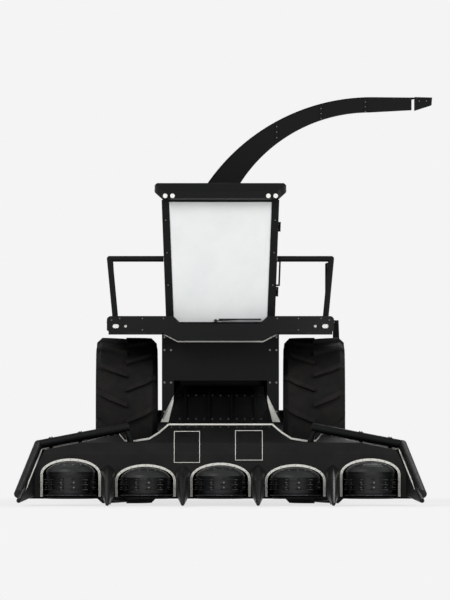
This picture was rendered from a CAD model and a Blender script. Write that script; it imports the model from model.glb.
"""Looks of the forage harvester: finishes for every CAD piece, added detail, stage and camera."""

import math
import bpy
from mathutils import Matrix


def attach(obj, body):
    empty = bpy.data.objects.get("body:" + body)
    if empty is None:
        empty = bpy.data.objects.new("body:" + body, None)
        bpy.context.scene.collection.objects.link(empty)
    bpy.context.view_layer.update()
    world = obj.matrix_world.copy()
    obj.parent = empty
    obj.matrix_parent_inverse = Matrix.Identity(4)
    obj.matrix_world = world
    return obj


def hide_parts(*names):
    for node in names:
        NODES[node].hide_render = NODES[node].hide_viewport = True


bl_info = {
    "name": "Forage harvester looks",
    "version": (1, 0, 0),
    "blender": (4, 5, 0),
    "location": "3D View > Sidebar > Harvester",
    "description": "Finishes and detail pieces for the packed forage harvester",
    "category": "Object",
}

from collections import namedtuple

import bmesh
import bpy
from mathutils import Euler, Matrix, Vector

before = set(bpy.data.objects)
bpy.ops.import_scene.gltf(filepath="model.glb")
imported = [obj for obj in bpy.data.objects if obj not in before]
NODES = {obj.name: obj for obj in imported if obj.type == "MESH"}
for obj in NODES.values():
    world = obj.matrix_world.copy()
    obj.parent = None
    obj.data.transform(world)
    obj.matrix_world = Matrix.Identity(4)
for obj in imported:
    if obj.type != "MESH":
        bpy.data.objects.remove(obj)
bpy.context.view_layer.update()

# Places are the CAD's own millimetres, over the front axle and on the machine's centreline
CENTRE_X, AXLE_Y = -0.057878, -0.35
SIDES = {"left": 1, "right": -1}

# Hub's place, tyre's width and rim, then the nuts' depth, circle and count, and where the hub's cover stands
Wheel = namedtuple("Wheel", "out back radius width rim dish circle nuts cover")
WHEELS = {"front": Wheel(1157, 0, 1025, 760, 965, -46, 190, 12, 85),
          "rear": Wheel(1150, 3000, 745, 600, 711, -66, 140, 10, -5)}

# Header: the hood's slope as (z, y), the drums' centres with the spring lines of their arches, and the bends
# of a guard bar
FACE_Y = -2250
HOOD_SLOPE = [(0, FACE_Y), (630, FACE_Y), (770, -2110), (990, -1640), (1100, -1600)]
DRUM_PITCH, DRUM_REACH = 917, 333
CROWNS, CROWN_RISE = (575, 505, 523, 505, 575), 190
DRUMS = [((i - 2) * DRUM_PITCH, crown - CROWN_RISE) for i, crown in enumerate(CROWNS)]
GUARD_BAR = ((1125, -1790, 956), (2232, -1830, 744), (2462, -3150, 150))

# Cab: its side as (z, x), its leaning front as (z, y), and the lamps
CAB_SIDE, CAB_FRONT = [(2180, 668), (3750, 725)], [(2180, -925), (3750, -1075)]
ROOF_LAMPS, ROOF_LAMP_Z = (590, 680), 3798.3
HEAD_LAMP_Z = 2195

# Engine hood's top line as (y, z) and its outer skin, the deck's top, the tower's axis, and the arc of the
# spout's back
HOOD_TOP = [(1400, 2840), (1490, 2900), (2600, 2840), (4000, 2600), (4350, 2340)]
HOOD_SKIN = 651
DECK_Z = 2225
TOWER_Y = 1000
SPOUT_CENTRE, SPOUT_BACK = (1879, 2559), 2480

# Seat's cloth run: grain of its mesh in metres, air pressure and frames; half width of a sewn channel in metres
SEAT_GRAIN, SEAT_PRESSURE, SEAT_FRAMES, CHANNEL = 0.006, 4.0, 20, 0.007


def at(x, y, z):
    """The CAD's millimetres as metres in the row frame."""
    return Vector((CENTRE_X + x / 1000, AXLE_Y + y / 1000, z / 1000))


def along(line, reach):
    """The value at a reach on a line of (reach, value) points, held beyond its end."""
    for (a, low), (b, high) in zip(line, line[1:]):
        if reach <= b:
            return low + (high - low) * (reach - a) / (b - a)
    return line[-1][1]


def ray(degrees):
    """Cosine and sine of an angle."""
    return math.cos(math.radians(degrees)), math.sin(math.radians(degrees))


def around(count, start=0.0):
    """Evenly spaced rays round a circle, the first one start steps on."""
    return [ray(360 * (i + start) / count) for i in range(count)]


# Colours and nodes

def srgb(code):
    """Linear RGBA of an sRGB hex colour."""
    parts = [int(code[i:i + 2], 16) / 255 for i in (1, 3, 5)]
    return tuple(c / 12.92 if c <= 0.04045 else ((c + 0.055) / 1.055) ** 2.4 for c in parts) + (1.0,)


def hexed(colour):
    """The sRGB hex colour of a linear one."""
    parts = [c * 12.92 if c < 0.0031308 else 1.055 * c ** (1 / 2.4) - 0.055 for c in colour]
    return "#%02x%02x%02x" % tuple(round(255 * part) for part in parts)


def add(tree, kind, links=None, **settings):
    """Adds a node, sets its properties or sockets, and links sockets from (node, output) pairs."""
    made = tree.nodes.new(kind)
    for key, value in settings.items():
        if hasattr(made, key):
            setattr(made, key, value)
        else:
            made.inputs[key.replace("_", " ")].default_value = value
    for key, source in (links or {}).items():
        tree.links.new(source[0].outputs[source[1]], made.inputs[key])
    return made


def ramp(tree, source, stops):
    """A colour ramp over source with (position, hex) stops."""
    made = add(tree, "ShaderNodeValToRGB", {"Fac": source})
    elements = made.color_ramp.elements
    while len(elements) > len(stops):
        elements.remove(elements[-1])
    while len(elements) < len(stops):
        elements.new(1.0)
    for element, (stop, colour) in zip(elements, stops):
        element.position = stop
        element.color = srgb(colour)
    return made


def fresh(name):
    """An empty node material with its output and Principled shader."""
    material = bpy.data.materials.new(name)
    material.use_nodes = True
    tree = material.node_tree
    tree.nodes.clear()
    out = add(tree, "ShaderNodeOutputMaterial")
    shader = add(tree, "ShaderNodeBsdfPrincipled")
    tree.links.new(shader.outputs["BSDF"], out.inputs["Surface"])
    return material, tree, shader


def place(tree, centre=(0, 0, 0), scale=(1, 1, 1), turn=(0, 0, 0)):
    """Object coordinates, centred and turned by a Mapping node."""
    coords = add(tree, "ShaderNodeTexCoord")
    return add(tree, "ShaderNodeMapping", {"Vector": (coords, "Object")}, vector_type="TEXTURE",
               Location=centre, Rotation=turn, Scale=scale)


def bump(tree, shader, height, distance, strength=0.5):
    """Relief over height, distance metres deep."""
    made = add(tree, "ShaderNodeBump", {"Height": height}, Distance=distance, Strength=strength)
    tree.links.new(made.outputs["Normal"], shader.inputs["Normal"])


def noise(tree, where, scale, detail, roughness=0.5):
    """Noise over mapped coordinates, with scale in grains to the metre."""
    return add(tree, "ShaderNodeTexNoise", {"Vector": (where, "Vector")}, Scale=scale, Detail=detail,
               Roughness=roughness)


def stripes(tree, where, across, scale, distortion=0.0):
    """Even stripes across one of the mapped axes."""
    return add(tree, "ShaderNodeTexWave", {"Vector": (where, "Vector")}, wave_type="BANDS",
               bands_direction=across, Scale=scale, Distortion=distortion)


def tint(tree, shader, source, stops):
    """Colours the shader by a ramp over source."""
    tree.links.new(ramp(tree, source, stops).outputs["Color"], shader.inputs["Base Color"])


def roughen(tree, shader, source, low, high):
    """Lets the shader's roughness run between two values with source."""
    spread = add(tree, "ShaderNodeMapRange", {"Value": source}, **{"To Min": low, "To Max": high})
    tree.links.new(spread.outputs["Result"], shader.inputs["Roughness"])


def even(shader, **values):
    """Sets sockets that are the same all over; an underscore stands for a space."""
    for key, value in values.items():
        shader.inputs[key.replace("_", " ")].default_value = value


def height_of(tree, mapping):
    """Splits mapped coordinates, for their Z."""
    return add(tree, "ShaderNodeSeparateXYZ", {"Vector": (mapping, "Vector")})


def far_from_axis(tree, mapping, first, second):
    """Distance from the mapped origin in the plane of two axes."""
    split = add(tree, "ShaderNodeSeparateXYZ", {"Vector": (mapping, "Vector")})
    flat = add(tree, "ShaderNodeCombineXYZ", {first: (split, first), second: (split, second)})
    return add(tree, "ShaderNodeVectorMath", {0: (flat, "Vector")}, operation="LENGTH")


# Finishes

def sprayed_panel(name, colour):
    """Moulded fibreglass panel, sprayed two-pack gloss: faint orange peel, field dust settled low down."""
    material, tree, shader = fresh(name)
    where = place(tree)
    peel = noise(tree, where, 260.0, 2.0)   # 4 mm peel
    film = noise(tree, where, 3.2, 9.0, 0.62)
    level = height_of(tree, where)
    low = add(tree, "ShaderNodeMapRange", {"Value": (level, "Z")}, **{"From Min": 2.6, "From Max": 0.2})
    amount = add(tree, "ShaderNodeMath", {0: (film, "Fac"), 1: (low, "Result")}, operation="MULTIPLY")
    tint(tree, shader, (amount, "Value"), [(0.22, colour), (0.75, "#1d1c1a")])
    roughen(tree, shader, (film, "Fac"), 0.3, 0.56)
    even(shader, Coat_Weight=0.04, Coat_Roughness=0.2, Specular_IOR_Level=0.2)
    bump(tree, shader, (peel, "Fac"), 0.0004, 0.25)
    return material


def powder_coat(name, colour, worn="#232220", rough=0.5):
    """Powder-coated steel: fine pebbled film, small scuffs that show grey primer."""
    material, tree, shader = fresh(name)
    where = place(tree)
    pebble = noise(tree, where, 420.0, 3.0)  # 2.5 mm pebble
    scuffs = noise(tree, where, 9.0, 12.0, 0.72)
    tint(tree, shader, (scuffs, "Fac"), [(0.0, colour), (0.63, colour), (0.72, worn)])
    roughen(tree, shader, (scuffs, "Fac"), rough - 0.1, rough + 0.16)
    even(shader, Specular_IOR_Level=0.18)
    bump(tree, shader, (pebble, "Fac"), 0.0005, 0.3)
    return material


def rough_casting(name, colour="#1c1d1f", light="#35363a", metal=0.0, rough=0.55):
    """Sand-cast iron: 3 mm grain in the skin and a blotchy brushed-on paint."""
    material, tree, shader = fresh(name)
    where = place(tree)
    grain = noise(tree, where, 330.0, 5.0, 0.7)
    blotch = noise(tree, where, 7.0, 6.0)
    tint(tree, shader, (blotch, "Fac"), [(0.3, colour), (0.72, light)])
    even(shader, Roughness=rough, Metallic=metal)
    bump(tree, shader, (grain, "Fac"), 0.0015, 0.55)
    return material


def machined_steel(name):
    """Hard-chromed rod: ground along its length, with an oily smear."""
    material, tree, shader = fresh(name)
    where = place(tree, scale=(1, 1, 0.02))
    grind = noise(tree, where, 700.0, 2.0)
    smear = noise(tree, place(tree), 14.0, 4.0)
    tint(tree, shader, (smear, "Fac"), [(0.25, "#a7a9aa"), (0.7, "#c9ccce")])
    roughen(tree, shader, (smear, "Fac"), 0.1, 0.32)
    even(shader, Metallic=1.0)
    bump(tree, shader, (grind, "Fac"), 0.0001, 0.2)
    return material


def heat_toned_steel(name):
    """Rolled stainless pipe: straw and blue heat tones that fade with height above the outlet."""
    material, tree, shader = fresh(name)
    where = place(tree)
    level = height_of(tree, where)
    waves = noise(tree, where, 11.0, 5.0)
    warm = add(tree, "ShaderNodeMapRange", {"Value": (level, "Z")}, **{"From Min": 2.6, "From Max": 3.6})
    mixed = add(tree, "ShaderNodeMath", {0: (waves, "Fac"), 1: (warm, "Result")}, operation="MULTIPLY_ADD")
    mixed.inputs[2].default_value = 0.12
    tint(tree, shader, (mixed, "Value"),
         [(0.1, "#6a6763"), (0.32, "#6b6056"), (0.52, "#4f5056"), (0.8, "#303134")])
    even(shader, Metallic=0.9, Roughness=0.38)
    bump(tree, shader, (waves, "Fac"), 0.0006, 0.2)
    return material


def vulcanised_rubber(name, centre, radius):
    """Vulcanised tyre rubber: pebbled skin, soil dust on the tread, cleaner sidewall."""
    material, tree, shader = fresh(name)
    where = place(tree, centre=centre)
    reach = far_from_axis(tree, where, "Y", "Z")
    skin = noise(tree, where, 210.0, 4.0, 0.65)
    soil = noise(tree, where, 5.5, 10.0, 0.66)
    tread = add(tree, "ShaderNodeMapRange", {"Value": (reach, "Value")},
                **{"From Min": radius - 0.16, "From Max": radius - 0.02, "To Min": 0.12, "To Max": 0.9})
    amount = add(tree, "ShaderNodeMath", {0: (soil, "Fac"), 1: (tread, "Result")}, operation="MULTIPLY")
    tint(tree, shader, (amount, "Value"), [(0.05, "#0c0c0c"), (0.3, "#111010"), (0.62, "#211f1c")])
    even(shader, Roughness=0.78, Specular_IOR_Level=0.2)
    bump(tree, shader, (skin, "Fac"), 0.0012, 0.4)
    return material


def toughened_glass(name):
    """Toughened cab glass with a pale sun-screen tint, so that it reads as light in the dark frame."""
    material, tree, shader = fresh(name)
    where = place(tree)
    dust = noise(tree, where, 2.4, 8.0, 0.6)
    tint(tree, shader, (dust, "Fac"), [(0.3, "#fdfefe"), (0.75, "#f1f4f4")])
    even(shader, Roughness=0.06, IOR=1.5, Alpha=0.86)
    return material


def clear_lens(name):
    """Moulded polycarbonate lamp lens over a white reflector: fluted 9 mm apart."""
    material, tree, shader = fresh(name)
    where = place(tree)
    flutes = stripes(tree, where, "X", 17.5)
    tint(tree, shader, (flutes, "Fac"), [(0.0, "#e9e9e4"), (1.0, "#fdfdfb")])
    even(shader, Roughness=0.12, Coat_Weight=0.6)
    bump(tree, shader, (flutes, "Fac"), 0.002, 0.4)
    return material


def red_lens(name):
    """Moulded red acrylic tail lamp with a 6 mm prism grid."""
    material, tree, shader = fresh(name)
    where = place(tree)
    grid = add(tree, "ShaderNodeTexVoronoi", {"Vector": (where, "Vector")}, Scale=170.0)
    tint(tree, shader, (grid, "Distance"), [(0.0, "#7d0d10"), (0.8, "#b31a1c")])
    even(shader, Roughness=0.15)
    bump(tree, shader, (grid, "Distance"), 0.001, 0.5)
    return material


def moulded_plastic(name, colour="#232426", light="#303134", rough=0.6):
    """Injection or roto-moulded plastic with a leather-like 1.5 mm texture."""
    material, tree, shader = fresh(name)
    where = place(tree)
    grain = add(tree, "ShaderNodeTexVoronoi", {"Vector": (where, "Vector")}, Scale=620.0)
    shade = noise(tree, where, 8.0, 5.0)
    tint(tree, shader, (shade, "Fac"), [(0.3, colour), (0.75, light)])
    even(shader, Roughness=rough)
    bump(tree, shader, (grain, "Distance"), 0.0005, 0.4)
    return material


def pale_wear_strip(name):
    """Pale UHMW polyethylene wear strip, waxy, scored lengthwise by the crop."""
    material, tree, shader = fresh(name)
    where = place(tree)
    score = noise(tree, where, 90.0, 6.0, 0.75)
    tint(tree, shader, (score, "Fac"), [(0.25, "#d9d6cc"), (0.6, "#f1f0ea")])
    even(shader, Roughness=0.42)
    bump(tree, shader, (score, "Fac"), 0.0006, 0.35)
    return material


def worn_drum(name, centre, reach):
    """Painted drum plate: teeth worn back to bright steel at their tips, crop polish round the body."""
    material, tree, shader = fresh(name)
    where = place(tree, centre=centre)
    far = far_from_axis(tree, where, "X", "Y")
    rub = noise(tree, where, 26.0, 7.0, 0.7)
    edge = add(tree, "ShaderNodeMapRange", {"Value": (far, "Value")},
               **{"From Min": reach - 0.03, "From Max": reach - 0.004})
    amount = add(tree, "ShaderNodeMath", {0: (edge, "Result"), 1: (rub, "Fac")}, operation="MULTIPLY_ADD")
    tree.links.new(rub.outputs["Fac"], amount.inputs[2])
    tint(tree, shader, (amount, "Value"), [(0.0, "#0d0e0f"), (0.62, "#141516"), (0.9, "#55565a")])
    metal = add(tree, "ShaderNodeMapRange", {"Value": (amount, "Value")},
                **{"From Min": 0.66, "From Max": 0.86})
    tree.links.new(metal.outputs["Result"], shader.inputs["Metallic"])
    even(shader, Roughness=0.4)
    bump(tree, shader, (rub, "Fac"), 0.001, 0.35)
    return material


def finned_alloy(name):
    """Brazed aluminium core: 3 mm fins between tubes, dulled by chaff."""
    material, tree, shader = fresh(name)
    where = place(tree)
    fins = stripes(tree, where, "X", 50.0, 0.2)
    chaff = noise(tree, where, 16.0, 8.0)
    tint(tree, shader, (chaff, "Fac"), [(0.3, "#5b5d5f"), (0.7, "#7d7b70")])
    even(shader, Metallic=0.8, Roughness=0.5)
    bump(tree, shader, (fins, "Fac"), 0.003, 0.7)
    return material


def tread_plate(name):
    """Hot-rolled tread plate, powder-coated: raised lozenges 30 mm apart with shoe wear on top."""
    material, tree, shader = fresh(name)
    where = place(tree, turn=(0, 0, math.radians(45)))
    studs = add(tree, "ShaderNodeTexVoronoi", {"Vector": (where, "Vector")}, Scale=33.0, Randomness=0.0)
    wear = noise(tree, where, 4.0, 8.0)
    stud = ramp(tree, (studs, "Distance"), [(0.16, "#ffffff"), (0.3, "#000000")])
    tint(tree, shader, (wear, "Fac"), [(0.4, "#141517"), (0.78, "#3b3b3a")])
    even(shader, Roughness=0.5)
    bump(tree, shader, (stud, "Color"), 0.002, 0.6)
    return material


def woven_cloth(name, centre):
    """Woven seat cloth: 5 mm ribs, drawn coarser than the real 1 mm yarn so that they show."""
    material, tree, shader = fresh(name)
    where = place(tree, centre=centre)
    ribs, cross = (stripes(tree, where, across, 31.0, 0.6) for across in ("X", "Y"))
    weave = add(tree, "ShaderNodeMath", {0: (ribs, "Fac"), 1: (cross, "Fac")}, operation="MULTIPLY")
    tint(tree, shader, (weave, "Value"), [(0.0, "#26272a"), (1.0, "#45474b")])
    even(shader, Roughness=0.92, Sheen_Weight=0.35)
    bump(tree, shader, (weave, "Value"), 0.0015, 0.6)
    return material


def zinc_fastener(name):
    """Zinc-plated bolt: passivated, slightly yellowed steel."""
    material, tree, shader = fresh(name)
    where = place(tree)
    spots = noise(tree, where, 60.0, 4.0)
    tint(tree, shader, (spots, "Fac"), [(0.3, "#6e6f70"), (0.7, "#9a9a94")])
    even(shader, Metallic=0.9, Roughness=0.36)
    return material


def glossy_screen(name):
    """Dark toughened display glass, switched off: smooth, with the odd finger smear in its gloss."""
    material, tree, shader = fresh(name)
    smear = noise(tree, place(tree), 22.0, 6.0)
    tint(tree, shader, (smear, "Fac"), [(0.3, "#07090b"), (0.8, "#0d1013")])
    roughen(tree, shader, (smear, "Fac"), 0.05, 0.22)
    return material


def woven_wire(name):
    """Woven steel wire, black-painted: drawn 12 mm apart, coarser than the real 4 mm, so that it shows."""
    material, tree, shader = fresh(name)
    where = place(tree)
    split = add(tree, "ShaderNodeSeparateXYZ", {"Vector": (where, "Vector")})
    cells = []
    for pair in (("Y", "Z"), ("X", "Y")):
        flat = add(tree, "ShaderNodeCombineXYZ", {"X": (split, pair[0]), "Y": (split, pair[1])})
        cells.append(add(tree, "ShaderNodeTexVoronoi", {"Vector": (flat, "Vector")}, voronoi_dimensions="2D",
                         distance="CHEBYCHEV", Scale=83.0, Randomness=0.0))
    both = add(tree, "ShaderNodeMath", {0: (cells[0], "Distance"), 1: (cells[1], "Distance")},
               operation="MINIMUM")
    tint(tree, shader, (both, "Value"), [(0.28, "#020202"), (0.4, "#1b1c1d")])
    even(shader, Roughness=0.6)
    bump(tree, shader, (both, "Value"), 0.002, 0.7)
    return material


# Mesh helpers

def placed(name, made):
    """A linked object at the origin with a bmesh's shape."""
    mesh = bpy.data.meshes.new(name)
    made.to_mesh(mesh)
    made.free()
    piece = bpy.data.objects.new(name, mesh)
    bpy.context.scene.collection.objects.link(piece)
    return piece


def finished(name, made, body, material, smooth=True, turned=False):
    """Turns a bmesh into a piece that rides on a body, at the origin, with its finish."""
    bmesh.ops.remove_doubles(made, verts=made.verts, dist=0.00002)
    if turned:
        bmesh.ops.recalc_face_normals(made, faces=made.faces)
    piece = placed(name, made)
    piece.data.materials.append(material)
    if smooth:
        for polygon in piece.data.polygons:
            polygon.use_smooth = True
        piece.data.set_sharp_from_angle(angle=math.radians(35))
    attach(piece, body)


def turn_to(direction):
    """Rotation that takes Z to a direction."""
    return Vector((0, 0, 1)).rotation_difference(Vector(direction).normalized()).to_matrix().to_4x4()


def lathe(made, profiles, centre, axis, steps=48, closed=False):
    """Spins lines of (radius, height) points about an axis through centre; a closed line makes a ring."""
    frame_of = Matrix.Translation(Vector(centre)) @ turn_to(axis)
    lines = []
    for profile in profiles if isinstance(profiles[0], list) else [profiles]:
        verts = [made.verts.new(frame_of @ Vector((r, 0, h))) for r, h in profile]
        ends = verts[1:] + (verts[:1] if closed else [])
        lines += verts + [made.edges.new(pair) for pair in zip(verts, ends)]
    bmesh.ops.spin(made, geom=lines, cent=centre, axis=Vector(axis).normalized(), angle=2 * math.pi,
                   steps=steps, use_merge=True)


def disc_drum(made, centre, axis, radius, length, segments=24, taper=1.0):
    """A closed cylinder with its middle at centre."""
    where = Matrix.Translation(Vector(centre)) @ turn_to(axis)
    bmesh.ops.create_cone(made, cap_ends=True, cap_tris=False, segments=segments, radius1=radius,
                          radius2=radius * taper, depth=length, matrix=where)


def screw(made, centre, axis, radius=0.008, tall=0.006):
    """A pan-headed screw, its head's middle at centre."""
    disc_drum(made, centre, axis, radius, tall, 12, 0.8)


def band(made, centre, axis, inner, outer, half, steps):
    """A flat ring round an axis, reaching half its width to both sides of centre."""
    section = [(inner, -half), (outer, -half), (outer, half), (inner, half)]
    lathe(made, section, centre, axis, steps, closed=True)


def slab(made, low, high):
    """A block between two corners."""
    low, high = Vector(low), Vector(high)
    where = Matrix.Translation((low + high) / 2) @ Matrix.Diagonal((*(high - low), 1))
    return bmesh.ops.create_cube(made, size=1.0, matrix=where)["verts"]


def hex_bolt(made, centre, axis, across, height):
    """A hexagon head on a washer, its washer's foot at centre."""
    axis = Vector(axis).normalized()
    disc_drum(made, Vector(centre) + axis * height * 0.12, axis, across * 0.72, height * 0.24, 16)
    disc_drum(made, Vector(centre) + axis * height * 0.6, axis, across * 0.5, height * 0.8, 6, 0.94)


def soften(made, verts, width, segments=2):
    """Bevels every edge of the given vertices' faces."""
    edges = list({e for v in verts for e in v.link_edges})
    bmesh.ops.bevel(made, geom=edges, offset=width, offset_type="OFFSET", segments=segments, profile=0.5,
                    affect="EDGES", material=-1)


def block(made, low, high, edge, segments=2):
    """A block between two corners with its edges rounded off."""
    soften(made, slab(made, low, high), edge, segments)


def tube(made, points, radius, segments=12, closed=False):
    """A round tube along points, swept by a curve's bevel, with closed ends unless it runs round a loop."""
    line = bpy.data.curves.new("line", "CURVE")
    line.dimensions, line.bevel_depth, line.bevel_resolution = "3D", radius, max(0, segments // 4 - 1)
    line.use_fill_caps = not closed
    path = line.splines.new("POLY")
    path.points.add(len(points) - 1)
    for point, spot in zip(path.points, points):
        point.co = (*spot, 1.0)
    path.use_cyclic_u = closed
    holder = bpy.data.objects.new("line", line)
    made.from_mesh(holder.to_mesh())
    holder.to_mesh_clear()
    bpy.data.objects.remove(holder)
    bpy.data.curves.remove(line)


def loop_tube(made, points, radius):
    """A round bead that runs round a loop."""
    tube(made, points, radius, 8, closed=True)


# Sizes that a user would change

class HarvesterLooks(bpy.types.PropertyGroup):
    """Sizes and colours of the harvester's finish."""
    paint: bpy.props.FloatVectorProperty(
        name="Paint", description="Colour of the painted panels", subtype="COLOR", size=3, min=0, max=1,
        default=srgb("#08090a")[:3])
    nut: bpy.props.FloatProperty(
        name="Wheel nut", description="Size of the wheel nuts across flats", unit="LENGTH",
        default=0.036, min=0.02, max=0.05)
    screw: bpy.props.FloatProperty(
        name="Panel bolt", description="Size of the panel bolts across flats", unit="LENGTH",
        default=0.017, min=0.01, max=0.03)
    trim: bpy.props.FloatProperty(
        name="Trim line", description="Width of the pale outlines on the header's hood", unit="LENGTH",
        default=0.006, min=0.003, max=0.012)
    plump: bpy.props.FloatProperty(
        name="Plumpness", description="How far the seat's foam may swell", unit="LENGTH",
        default=0.024, min=0.0, max=0.03)


class HarvesterStage(bpy.types.PropertyGroup):
    """Camera and view."""
    distance: bpy.props.FloatProperty(
        name="Camera distance", description="From the camera to the machine", unit="LENGTH",
        default=200.0, min=20.0, max=300.0)
    eye: bpy.props.FloatProperty(
        name="Eye height", description="Height of the camera above the ground", unit="LENGTH",
        default=2.517, min=0.5, max=5.0)
    view_height: bpy.props.FloatProperty(
        name="View height", description="Height that the picture shows", unit="LENGTH",
        default=7.44, min=4.0, max=10.0)


# Operators

def dress(names, material):
    """Gives CAD pieces a finish."""
    for name in names:
        NODES[name].data.materials.clear()
        NODES[name].data.materials.append(material)


def named(name):
    """A finish that an earlier step made."""
    return bpy.data.materials[name]


class MATERIAL_OT_harvester_finishes(bpy.types.Operator):
    """Give every CAD piece its finish"""
    bl_idname = "material.harvester_finishes"
    bl_label = "Finishes"

    def execute(self, context):
        paint = hexed(context.scene.harvester_looks.paint)
        panels = ["hood", "side_panels", "cab_roof", "lamp_bar", "hood_door_left", "hood_door_right",
                  "header_hood", "dividers"]
        steelwork = ["main_frame", "discharge_tower", "cab_frame", "side_rails", "front_shield", "tow_hitch",
                     "feeder_housing", "header_frame", "guard_bars", "lift_barrels", "spout_turret", "spout",
                     "spout_flap", "spout_barrel", "cab_door", "rear_grille", "ladder"]
        dress(panels, sprayed_panel("sprayed_fibreglass", paint))
        dress(steelwork, powder_coat("powder_coated_steel", paint))
        dress(["front_axle", "rear_axle", "knuckle_left", "knuckle_right"], rough_casting("painted_casting"))
        dress(["engine"], rough_casting("engine_casting", "#3f4143", "#5a5c5e", 0.3, 0.5))
        dress(["tie_rod", "lift_rods", "spout_rod"], machined_steel("hard_chrome"))
        dress(["rim_%s_%s" % (axle, side) for axle in WHEELS for side in SIDES],
              powder_coat("rim_coating", "#141516", "#3c3b38", 0.42))
        dress(["cab_glass", "cab_door_glass"], toughened_glass("toughened_glass"))
        dress(["platforms"], tread_plate("tread_plate"))
        dress(["cooler"], finned_alloy("brazed_cooler_core"))
        dress(["exhaust"], heat_toned_steel("heat_toned_pipe"))
        dress(["fuel_tanks"], moulded_plastic("roto_moulded_tank", "#0f1011", "#1a1b1c"))
        dress(["cab_fittings"], moulded_plastic("cab_trim_plastic"))
        dress(["seat"], woven_cloth("seat_cloth", at(0, 0, 2900)))
        dress(["lamps"], clear_lens("lamp_lens"))
        dress(["wear_strips"], pale_wear_strip("pale_wear_strip"))
        zinc_fastener("zinc_plated_fastener")
        moulded_plastic("black_rubber_seal", "#0b0b0c", "#151515", 0.75)
        red_lens("red_acrylic_lens")
        glossy_screen("blank_display_glass")
        woven_wire("woven_wire_mesh")
        for axle, wheel in WHEELS.items():
            for side, sign in SIDES.items():
                hub = at(sign * wheel.out, wheel.back, wheel.radius)
                dress(["tyre_%s_%s" % (axle, side)],
                      vulcanised_rubber("tyre_rubber_%s_%s" % (axle, side), hub, wheel.radius / 1000))
        for number, (x, _) in enumerate(DRUMS, 1):
            dress(["drum_%d" % number],
                  worn_drum("worn_drum_%d" % number, at(x, FACE_Y, 0), DRUM_REACH / 1000))
        return {"FINISHED"}


def sidewall_ribs(made, hub, out, wheel):
    """Moulded rings on both walls of a tyre, and the grip bars that the mould leaves round its shoulder."""
    bead, radius, wide = wheel.rim / 2000 + 0.0003, wheel.radius / 1000, wheel.width / 1000
    middle, shoulder = (radius + bead) / 2, radius - 0.175
    wall = [(bead, 0.41 * wide), (bead + 0.024, 0.41 * wide), (bead + 0.07, 0.46 * wide),
            (middle, 0.5 * wide), (radius - 0.11, 0.49 * wide)]
    for face in (1, -1):
        ridges = []
        for reach, tall in ((bead + 0.04, 0.006), (bead + 0.062, 0.004), (middle - 0.045, 0.003),
                            (middle + 0.03, 0.003), (radius - 0.15, 0.005), (radius - 0.135, 0.005)):
            ridge = ((-0.005, -0.002), (-0.003, tall * 0.7), (0, tall), (0.003, tall * 0.7), (0.005, -0.002))
            ridges.append([(reach + a, along(wall, reach + a) + b) for a, b in ridge])
        lathe(made, ridges, hub, out * face, 96, closed=True)
        for a, b in around(32, 0.5):
            spoke = Vector((0, a, b))
            spot = hub + spoke * shoulder + out * face * (along(wall, shoulder) + 0.001)
            bar = slab(made, (-0.004, -0.006, -0.016), (0.004, 0.006, 0.016))
            bmesh.ops.transform(made, verts=bar, matrix=Matrix.Translation(spot) @ turn_to(spoke))


class MESH_OT_harvester_wheels(bpy.types.Operator):
    """Add wheel nuts, valves, hub covers and the tyres' sidewall ribs"""
    bl_idname = "mesh.harvester_wheels"
    bl_label = "Wheels"

    def execute(self, context):
        looks = context.scene.harvester_looks
        zinc, cast = named("zinc_plated_fastener"), named("painted_casting")
        for side, sign in SIDES.items():
            out = Vector((sign, 0, 0))
            for axle, wheel in WHEELS.items():
                hub = at(sign * wheel.out, wheel.back, wheel.radius)
                corner, body = "%s_%s" % (axle, side), "wheel_%s_%s" % (axle, side)
                made = bmesh.new()
                for a, b in around(wheel.nuts):
                    spot = hub + (out * wheel.dish + Vector((0, a, b)) * wheel.circle) / 1000
                    hex_bolt(made, spot, out, looks.nut, 0.026)
                # valve stem in the rim's well
                well = hub + out * 0.03 + Vector((0, 0, wheel.rim / 2000 - 0.03))
                for drop, radius, length in ((0.02, 0.006, 0.05), (0.048, 0.009, 0.018)):
                    disc_drum(made, well - Vector((0, 0, drop)), (0, 0, -1), radius, length, 10)
                finished("wheel_nuts_" + corner, made, body, zinc)

                made = bmesh.new()
                sidewall_ribs(made, hub, out, wheel)
                finished("sidewall_ribs_" + corner, made, body, named("tyre_rubber_" + corner),
                         turned=True)

                # cover of the final drive or the bearing, on the axle's side
                made = bmesh.new()
                cap = hub + out * wheel.cover / 1000
                dome = [(0.0, 0.024), (0.03, 0.023), (0.058, 0.016), (0.073, 0.012), (0.073, 0.0), (0.0, 0.0)]
                lathe(made, dome, cap, out, 40)
                for a, b in around(8, 0.25):
                    hex_bolt(made, cap + out * 0.013 + Vector((0, a, b)) * 0.063, out, 0.013, 0.008)
                carrier = "chassis" if axle == "front" else "knuckle_" + side
                finished("hub_cover_" + corner, made, carrier, cast, turned=True)
        return {"FINISHED"}


def hood_y(z):
    """How far forward the header's hood lies at a height, in the CAD's millimetres."""
    return along(HOOD_SLOPE, z)


def hood_patch(made, x0, z0, x1, z1, off, thick):
    """A thin patch that follows the hood's slope between two corners, its face off millimetres before it."""
    heights = [z0] + [z for z, _ in HOOD_SLOPE if z0 < z < z1] + [z1]
    rows = [[made.verts.new(at(x, hood_y(z) - depth, z)) for depth in (off - thick, off) for x in (x0, x1)]
            for z in heights]
    for low, high in zip(rows, rows[1:]):
        made.faces.new((low[2], low[3], high[3], high[2]))
        made.faces.new((low[1], low[0], high[0], high[1]))
        made.faces.new((low[0], low[2], high[2], high[0]))
        made.faces.new((low[3], low[1], high[1], high[3]))
    made.faces.new((rows[0][0], rows[0][1], rows[0][3], rows[0][2]))
    made.faces.new((rows[-1][2], rows[-1][3], rows[-1][1], rows[-1][0]))


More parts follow.
